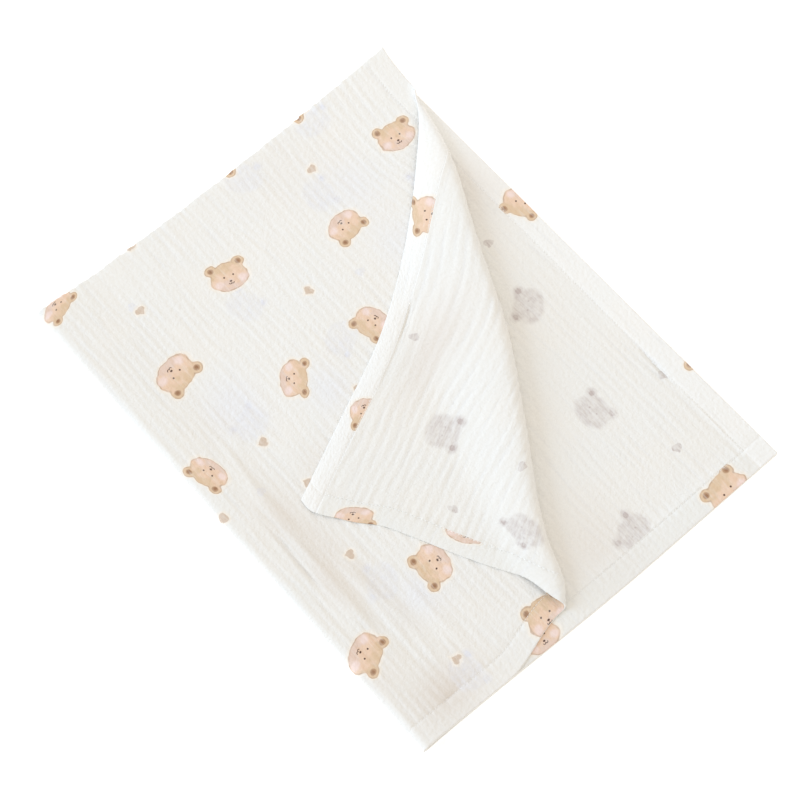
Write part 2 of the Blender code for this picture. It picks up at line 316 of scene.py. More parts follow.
# What shows on the turned-in hems of the unprinted side.
HEM_PRINT = [Motif(BEAR, *row) for row in (
    (0.224, 0.444, 71, 1.10, 0.95),
    (0.469, 0.438, -40),
    (0.5970, 0.4042, -25, 0.88),
    (0.568, 0.3075, 166),
    (-0.231, 0.459, -123),
    (-0.4855, 0.4792, -110),
    (-0.596, 0.398, -11, 1.14),
    (-0.586, 0.160, 0),
)]

# The right half of a bear's head, upright round (0, 0), in mm: each oval's middle and its half sizes.
HEAD_OVALS = {
    "skull": ((0.0, 1.6), (17.6, 14.2)),
    "jowl": ((0.0, -3.2), (19.8, 13.2)),
    "ear": ((14.6, 11.6), (6.3, 6.1)),
    "inner_ear": ((14.8, 11.8), (3.0, 2.9)),
    "ear_spot": ((15.0, 11.6), (1.6, 1.7)),
    "cheek": ((12.6, -6.2), (4.4, 4.0)),
    "eye": ((4.9, 0.0), (0.85, 0.9)),
    "nose": ((0.0, -5.9), (1.25, 0.95)),
    "mouth": ((1.3, -7.7), (1.3, 1.3)),
}
JOWL_BLEND = 4.0
EAR_BLEND = 3.0
HEART_LOBE = ((2.3, 1.9), (3.0, 3.0))
HEART_POINT = 4.6
HEART_BLEND = 1.0

# Noises of the print and the cloth's colour. A scale or a stretch (along and across) is in cells in a
# metre, and a wobble is such a scale and the noise's range in mm.
HEAD_WOBBLE = (110.0, 3.4)
INNER_EAR_SHARE = 0.7
CHEEK_SHARE = 0.8
FUR_WOBBLE = (120.0, 30.0)
HEART_WOBBLE = (260.0, 2.6)
HEART_TINT_SCALE = 320.0
BREAKS_SCALE = 150.0
WORN_STRETCH = (60.0, 420.0)
GHOST_STRETCH = (90.0, 500.0)
BLOTCH_SCALE = 120.0
GHOST_STRENGTH = 0.9
SHOW_THROUGH_STRENGTH = 0.55
IVORY_SCALE = 16.0
IVORY_SPREAD = 0.4

# Soft steps: the start and end and, if not 0 and 1, the values there. The steps of printed shapes are in mm
# outside their edges, the fur's and the mouth's level in mm up the head, and those of the worn print and the
# painted shade in the valleys by the ridges.
HEAD_HALO = (3.2, 0.6, 0.0, 0.75)
HEAD_WASH = (0.5, -0.5)
HEAD_LINE_IN = 0.5
HEAD_LINE = (0.85, 0.15)
LINE_BREAKS = (0.35, 0.62, 0.25, 0.80)
MOUTH_LINE = (0.6, 0.15)
MOUTH_BELOW = (-7.3, -7.9)
FUR_PINK_TO_PEACH = (-11.0, -4.0)
FUR_PEACH_TO_TAN = (1.0, 10.0)
HEART_HALO = (3.4, 0.4, 0.0, 0.8)
HEART_WASH = (0.7, -0.7, 0.0, 0.95)
WORN_STREAKS = (0.52, 0.74, 0.0, 0.22)
WORN_VALLEYS = (0.1, -0.8, 0.0, 0.10)
IVORY_WARMTH = (0.35, 0.7)
VALLEY_SHADE_STEP = (-0.1, -1.0, 0.0, 0.30)
GHOST_HEAD = (2.0, -2.5, 0.0, 0.75)
GHOST_DARK = (0.8, -0.8, 0.0, 0.9)
GHOST_HEART = (0.6, -0.6)
GHOST_STREAKS = (0.3, 0.7, 0.45, 1.0)
GHOST_BLOTCHES = (0.3, 0.65, 0.50, 1.0)

# Colours as a screen shows them, and the soft steps by which the small parts of a head take theirs.
IVORY = (246, 244, 239)
IVORY_WARM = (246, 243, 237)
IVORY_COOL = (244, 244, 241)
REVERSE_IVORY = (245, 243, 238)
# Painted light and shade on the hems: the long hems lighter, the short hems darker.
LIT_LONG_HEM_IVORY = (253, 252, 249)
SHADED_SHORT_HEM_IVORY = (243, 242, 237)
FUR_TAN = (230, 203, 172)
FUR_PEACH = (242, 212, 187)
FUR_PINK = (236, 211, 195)
FUR_LINE = (202, 176, 152)
HALO_CREAM = (253, 245, 233)
EAR_BROWN = (190, 155, 126)
EAR_DARK = (160, 120, 90)
CHEEK_PINK = (251, 230, 224)
FACE_DARK = (92, 68, 58)
HEART_TAN = (226, 208, 190)
HEART_DARK = (212, 190, 170)
GHOST_GREY = (204, 193, 189)
# Painted shade: the grey of the crinkle's valleys.
VALLEY_SHADE_GREY = (236, 236, 236)
# The brown of the patches of painted shade.
PAINTED_SHADE_BROWN = (235, 228, 220)
PATCH_BLUE = (239, 240, 246)
SHOW_THROUGH = (230, 231, 240)
THREAD_WHITE = (252, 251, 248)
FLOOR_WHITE = (252, 252, 252)
HEAD_PARTS = (
    ("cheek", (1.8, -2.0, 0.0, 0.8), CHEEK_PINK),
    ("inner_ear", (0.7, -0.5, 0.0, 0.95), EAR_BROWN),
    ("ear_spot", (0.9, -0.7, 0.0, 0.8), EAR_DARK),
    ("eye", (0.35, -0.25), FACE_DARK),
    ("nose", (0.35, -0.25), FACE_DARK),
)

# Half the width in metres over which a long hem's painted light gives way to a short one's painted shade.
HEM_BLEND = 0.0005

# The camera, by the photograph's viewing angle, and the lens that gives its frame.
VIEW_AZIMUTH = 48.8
VIEW_ELEVATION = 70.0
VIEW_DISTANCE = 2.280
VIEW_TARGET = Vector((0.0098, -0.0138, 0.0))
LENS = 101.5

# The floor, the low sun at the side, the even light of the studio and the lamp overhead.
FLOOR_HALF = 12.0
SUN_AZIMUTH = -41.0
SUN_ELEVATION = 25.0
SUN_WIDTH = 40.0
SUN_POWER = 1.52
SUN_COLOUR = (0.53, 0.74, 1.0)
STUDIO_COLOUR = (1.0, 0.946, 0.878, 1.0)
STUDIO_STRENGTH = 0.820
OVERHEAD_PLACE = Vector((-0.60, 0.50, 0.90))
OVERHEAD_SIZE = 0.8
OVERHEAD_POWER = 1.1
FLOOR_GLOW = 0.35


def linear(colour):
    """A screen colour as Blender's nodes take it."""
    shares = [value / 255 for value in colour]
    return tuple(s / 12.92 if s <= 0.04045 else ((s + 0.055) / 1.055) ** 2.4 for s in shares) + (1.0,)


def ease(share):
    """From 0 to 1 with level ends."""
    share = np.clip(share, 0, 1)
    return share * share * (3 - 2 * share)


def read_rows(rows, place, column, at):
    """One column of a table as a smooth curve over another, carried on straight past its ends."""
    places = np.array([getattr(row, place) for row in rows])
    values = np.array([getattr(row, column) for row in rows])
    slopes = np.gradient(values, places)
    inside = np.clip(at, places[0], places[-1])
    row = np.clip(np.searchsorted(places, inside, side="right") - 1, 0, len(rows) - 2)
    gap = places[row + 1] - places[row]
    share = (inside - places[row]) / gap
    rest = 1 - share
    curve = (
        values[row] * rest * rest * (1 + 2 * share)
        + values[row + 1] * share * share * (1 + 2 * rest)
        + slopes[row] * gap * share * rest * rest
        - slopes[row + 1] * gap * share * share * rest
    )
    end_slope = np.where(at < places[0], slopes[0], slopes[-1])
    return curve + end_slope * (at - inside)


def fold_over(run, radius, rise, settle):
    """Side view of cloth folded back: distance in from the outermost line, height and angle turned."""
    turn = np.clip(run / radius, -math.pi / 2, math.pi / 2)
    past = np.maximum(np.abs(run) - radius * math.pi / 2, 0)
    reach = radius * (1 - np.cos(turn)) + past
    drop = np.where(run > 0, (2 * radius - rise) * ease(past / settle), 0)
    height = radius * (1 + np.sin(turn)) - drop
    return reach, height, turn


def ridge_height(ridge, x, y):
    """Height of one wrinkle, which fades at its ends."""
    length = math.hypot(ridge.x1 - ridge.x0, ridge.y1 - ridge.y0)
    east = (ridge.x1 - ridge.x0) / length
    north = (ridge.y1 - ridge.y0) / length
    share = ((x - ridge.x0) * east + (y - ridge.y0) * north) / length
    away = (y - ridge.y0) * east - (x - ridge.x0) * north
    fade = ease(share / WRINKLE_FADE) * ease((1 - share) / WRINKLE_FADE)
    return ridge.height * fade * np.exp(-((away / ridge.half_width) ** 2))


def wrinkle_height(x, y):
    """Soft ridges near the second fold, and the slow swell of cloth that isn't pressed."""
    swell = np.sin(2 * math.pi * x / SWELL_LENGTH) * np.sin(2 * math.pi * y / SWELL_WIDTH)
    height = SWELL * (1 + swell) * ease(y / SECOND_SETTLE)
    for ridge in WRINKLES:
        height = height + ridge_height(ridge, x, y)
    return height


def upper_level(x, y):
    """Height of the upper pair of layers above its settled level."""
    puff = 2 * SECOND_RADIUS - 2 * LAYER_PITCH
    return puff * (1 - ease((y - SECOND_RADIUS) / SECOND_SETTLE)) + wrinkle_height(x, y)


def uneven(x, y, first_turn, second_turn):
    """Shift places in the stack to where the real cloth lies."""
    upper = (1 + np.sin(second_turn)) / 2
    top = upper * (1 + np.sin(first_turn)) / 2
    share_x = x / FOLDED_LENGTH
    share_y = y / FOLDED_WIDTH
    bow = FIRST_FOLD_BOW * (1 - (2 * share_y - 1) ** 2) * (1 - share_x)
    slant = SHORT_HEM_START + SHORT_HEM_SLANT * ease(y / SHORT_HEM_REACH)
    turn_in = TOP_TURN_IN * top * ease((y - TOP_TURN_IN_START) / TOP_TURN_IN_REACH)
    tip_reach = TIP_REACH_BELOW + (TIP_REACH_TOP - TIP_REACH_BELOW) * top
    tip = TIP_OVERHANG * upper * share_y**3 * np.exp(-x / tip_reach)
    pull = CORNER_PULL * top * share_y**3 * np.exp(-(((x - CORNER_PULL_X) / CORNER_PULL_WIDTH) ** 2))
    moved_x = x + bow + (slant - turn_in) * share_x**2
    moved_y = y * (1 - LONG_HEM_DROP + LONG_HEM_SPREAD * share_x) + tip + pull
    return moved_x, moved_y


def crease_frame():
    """Length, direction and outward normal of the straight line under the crease."""
    line = CREASE_END - CREASE_START
    length = math.hypot(line[0], line[1])
    direction = line / length
    return length, direction, np.array((-direction[1], direction[0]))


def beyond_crease(x, y):
    """Distance beyond the curved crease, the roll's radius and how far it takes to settle."""
    length, direction, normal = crease_frame()
    from_start = (x - CREASE_START[0], y - CREASE_START[1])
    share = np.clip((from_start[0] * direction[0] + from_start[1] * direction[1]) / length, 0, 1)
    beyond = from_start[0] * normal[0] + from_start[1] * normal[1]
    radius = read_rows(CREASE, "share", "radius", share)
    settle = read_rows(CREASE, "share", "settle", share)
    return beyond - read_rows(CREASE, "share", "bulge", share), radius, settle


def flap_place(along, across):
    """Where cloth of the turned corner lies: its short free edge, carried along the long one."""
    from_short_edge = FOLDED_LENGTH - along
    from_long_edge = FOLDED_WIDTH - across
    tip = FLAP_SHORT_EDGE[0]
    off_x = read_rows(FLAP_SHORT_EDGE, "from_tip", "x", from_long_edge) - tip.x
    off_y = read_rows(FLAP_SHORT_EDGE, "from_tip", "y", from_long_edge) - tip.y
    spin = np.radians(read_rows(FLAP_LONG_EDGE, "from_tip", "spin", from_short_edge))
    x = read_rows(FLAP_LONG_EDGE, "from_tip", "x", from_short_edge)
    y = read_rows(FLAP_LONG_EDGE, "from_tip", "y", from_short_edge)
    x = x + off_x * np.cos(spin) - off_y * np.sin(spin)
    y = y + off_x * np.sin(spin) + off_y * np.cos(spin)
    return x, y


def turn_corner(x, y, z, along, across):
    """Roll what lies beyond the crease back over the top layer."""
    _, _, normal = crease_frame()
    beyond, radius, settle = beyond_crease(x, y)
    half_roll = radius * math.pi / 2
    _, height, turn = fold_over(beyond, radius, FLAP_RISE, settle)
    reach = np.where(np.abs(beyond) < half_roll, half_roll - radius * np.cos(turn), np.abs(beyond))
    rolled_x = x - normal[0] * (beyond + reach)
    rolled_y = y - normal[1] * (beyond + reach)
    flap_x, flap_y = flap_place(along + normal[0] * (reach - beyond), across + normal[1] * (reach - beyond))
    turned = ease(beyond / settle)
    new_x = rolled_x * (1 - turned) + flap_x * turned
    new_y = rolled_y * (1 - turned) + flap_y * turned
    new_z = z - upper_level(x, y) + upper_level(new_x, new_y) + height
    moves = (along > 0) & (across > 0) & (beyond > -half_roll)
    return np.where(moves, new_x, x), np.where(moves, new_y, y), np.where(moves, new_z, z)


def in_stack(along, across):
    """Stack place before the corner is turned, height of the sheet's middle, and the folds' turns."""
    x, first_height, first_turn = fold_over(along, LAYER_PITCH / 2, LAYER_PITCH, FIRST_SETTLE)
    reach, second_height, second_turn = fold_over(across, SECOND_RADIUS, 2 * LAYER_PITCH, SECOND_SETTLE)
    outward = first_height - LAYER_PITCH / 2
    y = reach - outward * np.cos(second_turn)
    z = (SHEET + LAYER_PITCH) / 2 + second_height + outward * np.sin(second_turn)
    x, y = uneven(x, y, first_turn, second_turn)
    return x, y, z, second_turn


def lay(along, across):
    """Middle of the sheet, in the folded stack, for places on the cloth."""
    x, y, z, second_turn = in_stack(along, across)
    z = z + wrinkle_height(x, y) * (1 + np.sin(second_turn)) / 2
    return np.stack(turn_corner(x, y, z, along, across), axis=-1)


def lay_with_normal(along, across):
    """Middle of the sheet and the direction that its printed side faces."""
    by_along = lay(along + TINY, across) - lay(along - TINY, across)
    by_across = lay(along, across + TINY) - lay(along, across - TINY)
    normal = np.cross(by_along, by_across)
    normal /= np.linalg.norm(normal, axis=-1, keepdims=True)
    return lay(along, across), normal


def soft_noise(u, v, seed):
    """Smooth noise from -1 to 1, with cells of size 1."""
    table = np.random.default_rng(seed).uniform(-1, 1, (NOISE_CELLS, NOISE_CELLS))
    column = np.floor(u).astype(int)
    row = np.floor(v).astype(int)
    east = ease(u - column)
    north = ease(v - row)
    column, next_column = column % NOISE_CELLS, (column + 1) % NOISE_CELLS
    row, next_row = row % NOISE_CELLS, (row + 1) % NOISE_CELLS
    near = table[column, row] * (1 - east) + table[next_column, row] * east
    far = table[column, next_row] * (1 - east) + table[next_column, next_row] * east
    return near * (1 - north) + far * north


def flap_share(along, across):
    """1 on the turned corner and 0 elsewhere, with a soft change at the roll."""
    x, y, _, _ = in_stack(along, across)
    beyond, radius, _ = beyond_crease(x, y)
    return np.where((along > 0) & (across > 0), ease(beyond / (FLAP_BLEND_RADII * radius) + 0.5), 0)


def edge_distances(along, across):
    """Distances to the nearer short edge and to the nearer long edge."""
    return FOLDED_LENGTH - np.abs(along), FOLDED_WIDTH - np.abs(across)


def ridges(along, across):
    """The crinkle's long ridges, about -1 in their valleys and 1 on their tops."""
    wander = RIDGE_WANDER * soft_noise(along / WANDER_LENGTH, across / WANDER_WIDTH, CRINKLE_SEED)
    jitter = JITTER * soft_noise(along / JITTER_LENGTH, across / JITTER_WIDTH, CRINKLE_SEED + 3)
    phase = (across + wander + jitter) / RIDGE_PITCH
    share = soft_noise(along / RIDGE_LENGTH, RIDGE_SHARE_PITCH * phase, CRINKLE_SEED + 1)
    second_wave = RIDGE_SECOND_WAVE * np.cos(4 * math.pi * phase + RIDGE_SECOND_PHASE)
    return (RIDGE_SHARE + RIDGE_SHARE_SPREAD * share) * (np.cos(2 * math.pi * phase) + second_wave)


def puckers(along, across):
    """Small gathers that the stitches make along the hems."""
    to_short, to_long = edge_distances(along, across)
    height = 0.0
    for run, side, to_edge, draw in ((across, along, to_short, 4), (along, across, to_long, 5)):
        shift = PUCKER_SHIFT * soft_noise(run / PUCKER_SHIFT_LENGTH, side, CRINKLE_SEED + draw)
        wave = np.sin(2 * math.pi * run / PUCKER_PITCH + shift)
        height = height + wave * np.exp(-(((to_edge - HEM_WIDTH) / PUCKER_REACH) ** 2))
    return PUCKER_HEIGHT * height


def crinkle(along, across):
    """How far the crinkled cloth stands off its smooth place, towards its printed side."""
    flap = flap_share(along, across)
    small = soft_noise(along / SMALL_RIDGE_LENGTH, across / SMALL_RIDGE_WIDTH, CRINKLE_SEED + 2)
    tall = np.where(along > 0, RIDGE_HEIGHT, RIDGE_HEIGHT_BELOW)
    tall = tall + (RIDGE_HEIGHT_ON_FLAP - tall) * flap
    to_short, to_long = edge_distances(along, across)
    calm = 1 - (1 - HEM_CALM) * (np.minimum(to_short, to_long) < HEM_WIDTH)
    height = (tall * ridges(along, across) + SMALL_RIDGE_HEIGHT * small) * calm + puckers(along, across)
    scallop = soft_noise(np.zeros_like(across), across / SMALL_RIDGE_WIDTH, CRINKLE_SEED + 6)
    height = height + FOLD_SCALLOP * scallop * np.exp(-((along / FOLD_SCALLOP_REACH) ** 2))
    height = height + flap * FLAP_SAG * np.exp(-np.minimum(to_short, to_long) / FLAP_SAG_REACH)
    for wrinkle in SMALL_WRINKLES:
        height = height + ridge_height(wrinkle, along, across)
    bend = SECOND_RADIUS * math.pi / 2
    return height * ease((across + bend) / (2 * bend))


def seam_dip(along, across):
    """How far the stitching pulls each face of the sheet in."""
    to_short, to_long = edge_distances(along, across)
    away = np.minimum(np.abs(to_short - SEAM_FROM_EDGE), np.abs(to_long - SEAM_FROM_EDGE))
    return SEAM_DIP * np.exp(-((away / SEAM_DIP_REACH) ** 2))


def place_on_face(along, across, printed):
    """Places on the printed face of the sheet or on the other one."""
    middle, normal = lay_with_normal(along, across)
    to_edge = np.minimum(*edge_distances(along, across))
    thinning = FLAP_EDGE_THINNING * flap_share(along, across) * np.exp(-((to_edge / THINNING_REACH) ** 2))
    half = SHEET / 2 - seam_dip(along, across) - thinning
    in_hem = to_edge < HEM_WIDTH
    height = half if printed else -(half + HEM_EXTRA * in_hem)
    return middle + normal * (height + crinkle(along, across))[:, None]


def stack_centre():
    """Middle of the folded blanket's box, in the stack."""
    along, across = cloth_grid()
    middle, normal = lay_with_normal(along.ravel(), across.ravel())
    faces = np.concatenate([middle + normal * SHEET / 2, middle - normal * SHEET / 2])
    return np.append((faces[:, :2].min(axis=0) + faces[:, :2].max(axis=0)) / 2, 0.0)


def even_lines(start, end, spacing):
    """Evenly spaced lines from start to end, both left out."""
    count = math.ceil((end - start) / spacing)
    return [start + (end - start) * step / count for step in range(1, count)]


def hem_lines(edge):
    """Lines from the inner side of a hem to its edge."""
    inner = edge - HEM_WIDTH
    seam = edge - SEAM_FROM_EDGE
    dip = [seam - SEAM_DIP_REACH, seam, seam + SEAM_DIP_REACH]
    last = edge - EDGE_STRIP
    return [inner - HEM_STEP, inner + HEM_STEP] + dip + even_lines(dip[-1], last, HEM_SPACING) + [last, edge]


def round_lines(radius, steps):
    """Lines across a fold, evenly spaced round its bend."""
    return [radius * math.pi * (step / steps - 0.5) for step in range(steps + 1)]


def fold_lines(fold, hem, spacing, spacing_before):
    """Lines on both sides of a fold, out to the hems, with one spacing past it and one before it."""
    past = even_lines(fold[-1], hem[0], spacing) + hem
    before = even_lines(fold[-1], hem[0], spacing_before) + hem
    return [-line for line in reversed(before)] + fold + past


def lines_of_length():
    """Lines across the length of the cloth, close together on the top layer."""
    fold = round_lines(LAYER_PITCH / 2, FIRST_FOLD_STEPS)
    return fold_lines(fold, hem_lines(FOLDED_LENGTH), TOP_LENGTH_SPACING, BELOW_LENGTH_SPACING)


def lines_of_width():
    """Lines across the width of the cloth, close together on the upper layers."""
    fold = round_lines(SECOND_RADIUS, SECOND_FOLD_STEPS)
    return fold_lines(fold, hem_lines(FOLDED_WIDTH), UPPER_WIDTH_SPACING, LOWER_WIDTH_SPACING)


def cloth_grid():
    """The fine cloth's grid: the place along and the place across of each of its points."""
    return np.meshgrid(lines_of_length(), lines_of_width(), indexing="ij")


def nearest_motif(along, across, motifs):
    """For each place, which of the motifs has its edge nearest."""
    best = np.full(len(along), np.inf)
    chosen = np.zeros(len(along), dtype=int)
    for index, motif in enumerate(motifs):
        reach = BEAR_REACH if motif.kind == BEAR else HEART_REACH
        away = np.hypot(along - motif.along, across - motif.across) - reach
        closer = away < best
        best = np.where(closer, away, best)
        chosen = np.where(closer, index, chosen)
    return chosen


def motif_places(corners, centres, motifs):
    """Corner places on the motif nearest to their face, as (right, up, kind) in metres."""
    chosen = nearest_motif(*centres.T, motifs)
    rows = np.array(motifs)[np.repeat(chosen, 4)]
    kind, along, across, turn, size, tall = rows.T
    turn = np.radians(turn)
    off_along = (corners[:, 0] - along) / size
    off_across = (corners[:, 1] - across) / size
    right = off_along * np.sin(turn) - off_across * np.cos(turn)
    up = (off_along * np.cos(turn) + off_across * np.sin(turn)) / tall
    return np.stack([right, up, kind], axis=1)


def whole_print():
    """The print over the whole cloth."""
    motifs = BEARS + HEARTS
    return motifs + [motif._replace(across=motif.across - PRINT_REPEAT) for motif in motifs]


def patches(along, across, rows):
    """Strength of the soft patches at places of the cloth."""
    total = np.zeros(len(along))
    for row in rows:
        turn = math.radians(row.turn)
        forward = ((along - row.along) * math.cos(turn) + (across - row.across) * math.sin(turn)) / row.long
        sideways = ((across - row.across) * math.cos(turn) - (along - row.along) * math.sin(turn)) / row.wide
        total = total + row.strength * np.exp(-(forward**2) - sideways**2)
    return np.clip(total, 0, 1)


def blend_lines(lines, at):
    """For each place, the line before it and the share of the way to the next one."""
    lines = np.array(lines)
    before = np.clip(np.searchsorted(lines, at, side="right") - 1, 0, len(lines) - 2)
    return before, ((at - lines[before]) / (lines[before + 1] - lines[before]))[:, None]


def on_grid(grid, along, across):
    """Places between the points of a face of the fine cloth."""
    column, east = blend_lines(lines_of_length(), along)
    row, north = blend_lines(lines_of_width(), across)
    near = grid[column, row] * (1 - east) + grid[column + 1, row] * east
    far = grid[column, row + 1] * (1 - east) + grid[column + 1, row + 1] * east
    return near * (1 - north) + far * north


def stitch_ends():
    """Where the stitches start and end on the flat cloth, all round."""
    half_length = FOLDED_LENGTH - SEAM_FROM_EDGE
    half_width = FOLDED_WIDTH - SEAM_FROM_EDGE
    ends = []
    for half_run, side, order in ((half_length, half_width, 1), (half_width, half_length, -1)):
        first = np.arange(-half_run, half_run - STITCH_LENGTH, STITCH_PITCH)
        for level in (-side, side):
            start = np.stack([first, np.full(len(first), level)], axis=1)
            ends.append(np.stack([start, start + (STITCH_LENGTH, 0.0)])[:, :, ::order])
    return np.concatenate(ends, axis=1)


def stitch_bars(grid, outward):
    """The eight corners of each stitch's slim bar on one face, where the cloth isn't bent sharply."""
    ends = stitch_ends()
    first, last = [on_grid(grid, *end.T) for end in ends]
    first_normal, last_normal = [lay_with_normal(*end.T)[1] for end in ends]
    straight = (first_normal * last_normal).sum(axis=1) > STITCH_BEND
    up = outward * first_normal
    forward = (last - first) / np.linalg.norm(last - first, axis=1, keepdims=True)
    side = np.cross(up, forward)
    rise = STITCH_HALF_HEIGHT - STITCH_SINK
    bar = []
    for tip in (first, last):
        for across_bar, up_bar in ((-1, -1), (1, -1), (1, 1), (-1, 1)):
            offset = side * across_bar * STITCH_HALF_WIDTH + up * (rise + up_bar * STITCH_HALF_HEIGHT)
            bar.append(tip + offset)
    return np.stack(bar, axis=1)[straight]


def add_stitching(centre):
    """The sewing thread of the hems: a slim closed bar for each stitch."""
    along, across = cloth_grid()
    bars = []
    for printed, outward in ((True, 1), (False, -1)):
        grid = place_on_face(along.ravel(), across.ravel(), printed).reshape(*along.shape, 3) - centre
        bars.append(stitch_bars(grid, outward))
    places = np.concatenate(bars)
    box = np.array([(0, 1, 2, 3), (7, 6, 5, 4), (0, 4, 5, 1), (1, 5, 6, 2), (2, 6, 7, 3), (3, 7, 4, 0)])
    faces = (box[None] + 8 * np.arange(len(places))[:, None, None]).reshape(-1, 4)
    mesh = bpy.data.meshes.new("hem_stitching")
    mesh.from_pydata(places.reshape(-1, 3), [], faces.tolist())
    return add_piece(mesh, [thread_cotton()])


def add_object(name, data):
    """A new object in the scene."""
    item = bpy.data.objects.new(name, data)
    bpy.context.scene.collection.objects.link(item)
    return item


def add_piece(mesh, materials):
    """A smooth piece from a mesh, with the mesh's name."""
    mesh.shade_smooth()
    mesh.update()
    for material in materials:
        mesh.materials.append(material)
    return add_object(mesh.name, mesh)


def rim_places(flat, middle_of_faces):
    """Places of the rim's rounded middle line, on the flat cloth and in the stack."""
    at_edge = np.abs(flat) > (FOLDED_LENGTH - TINY, FOLDED_WIDTH - TINY)
    rim_flat = flat + np.sign(flat) * at_edge * RIM_BULGE
    lean = middle_of_faces - lay(*flat.T)
    return rim_flat, lay(*rim_flat.T) + lean


def rim_walls(ring, rim, count):
    """Faces from each side of the sheet to the rim's middle line, with count points on each side."""
    next_ring = np.roll(ring, -1)
    next_rim = np.roll(rim, -1)
    return np.concatenate([
        np.stack([next_ring, ring, rim, next_rim], axis=1),
        np.stack([next_rim, rim, ring + count, next_ring + count], axis=1),
    ])


def hold_prints(mesh, corners, centres, on_hem):
    """Hold places on the nearest motifs at each face's corners: of its own print and of the layer below."""
    own = motif_places(corners, centres, whole_print())
    own = np.where(np.repeat(on_hem, 4)[:, None], motif_places(corners, centres, HEM_PRINT), own)
    mirror = np.array((-1.0, 1.0))
    below = motif_places(corners * mirror, centres * mirror, whole_print())
    for name, values in (("print_place", own), ("below_place", below)):
        mesh.attributes.new(name, "FLOAT_VECTOR", "CORNER").data.foreach_set("vector", values.ravel())


def hold_numbers(mesh, flat, relief):
    """Hold the crinkle's relief and the strengths of the painted-shade patches and the blue patches at each
    point.
    """
    strengths = [patches(*flat.T, rows) for rows in (SHADE_PATCHES, BLUE_PATCHES)]
    for name, values in zip(("relief", "painted_shade", "blue"), (relief, *strengths)):
        mesh.attributes.new(name, "FLOAT", "POINT").data.foreach_set("value", values)


def add_maps(mesh, corners, beside):
    """The place on the flat cloth in metres, and a map in which the two sides of the cloth lie apart."""
    mesh.uv_layers.new(name="Cloth").data.foreach_set("uv", corners.ravel())
    sheet_place = (corners + (FOLDED_LENGTH, FOLDED_WIDTH)) * (1 / (2 * CLOTH_WIDTH))
    sheet_place[:, 1] += np.repeat(beside, 4) * 0.5
    mesh.uv_layers.new(name="OFBake").data.foreach_set("uv", sheet_place.ravel())


def add_cloth(centre):
    """The cloth as one thin closed sheet with fine crinkles, its print places held at its corners."""
    along, across = cloth_grid()
    flat = np.stack([along.ravel(), across.ravel()], axis=1)
    index = np.arange(len(flat)).reshape(along.shape)
    ring = np.concatenate([index[:-1, 0], index[-1, :-1], index[:0:-1, -1], index[0, :0:-1]])
    quads = np.stack([index[:-1, :-1], index[1:, :-1], index[1:, 1:], index[:-1, 1:]], axis=-1)
    quads = quads.reshape(-1, 4)
    printed = place_on_face(*flat.T, True)
    reverse = place_on_face(*flat.T, False)
    rim_flat, rim = rim_places(flat[ring], (printed[ring] + reverse[ring]) / 2)
    walls = rim_walls(ring, 2 * len(flat) + np.arange(len(ring)), len(flat))
    faces = np.concatenate([quads, quads[:, ::-1] + len(flat), walls])
    places = np.concatenate([printed, reverse, rim]) - centre
    mesh = bpy.data.meshes.new("gauze_cloth")
    mesh.from_pydata(places, [], faces.tolist())
    flat_places = np.concatenate([flat, flat, rim_flat])
    corners = flat_places[faces.ravel()]
    centres = flat_places[faces].mean(axis=1)
    number = np.arange(len(faces))
    on_rim = number >= 2 * len(quads)
    reverse_side = (number >= len(quads)) & ~on_rim
    in_hem = np.minimum(*edge_distances(*centres.T)) < HEM_WIDTH
    hem_side = (reverse_side & in_hem) | on_rim
    mesh.polygons.foreach_set("material_index", np.where(hem_side, 2, np.where(reverse_side, 1, 0)))
    relief = ridges(*flat.T)
    hold_prints(mesh, corners, centres, hem_side)
    hold_numbers(mesh, flat_places, np.concatenate([relief, -relief, np.zeros(len(rim))]))
    add_maps(mesh, corners, hem_side | reverse_side)
    return add_piece(mesh, [printed_gauze(), reverse_gauze(), hem_gauze()])


